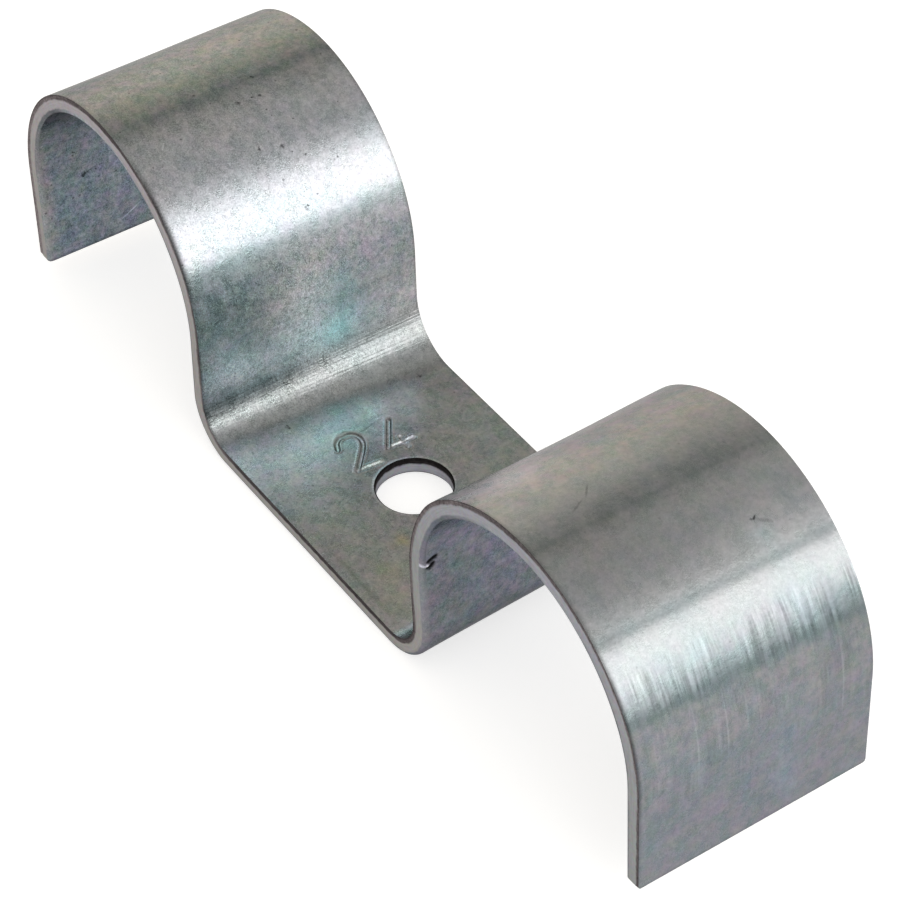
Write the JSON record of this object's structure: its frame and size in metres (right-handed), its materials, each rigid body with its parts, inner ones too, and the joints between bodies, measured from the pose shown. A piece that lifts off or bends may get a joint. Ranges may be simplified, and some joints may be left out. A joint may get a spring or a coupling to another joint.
{
  "type": "conduit strap",
  "caption": "Folded sheet metal strap with an arch on either side of a flat foot, which clamps parallel conduits to a wall with a screw through the foot.",
  "frame": {"origin": "on the screw hole's axis, at the underside of the foot", "axes": "+X along the strip from arch to arch, +Y along the conduits, +Z away from the wall"},
  "size_m": [0.0838, 0.02, 0.0244],
  "materials": {
    "zinc_plated_steel": "dull zinc plating with bright rubbed bands and dark sheared edges"
  },
  "bodies": {
    "root": {"strap": "zinc_plated_steel"}
  },
  "joints": []
}
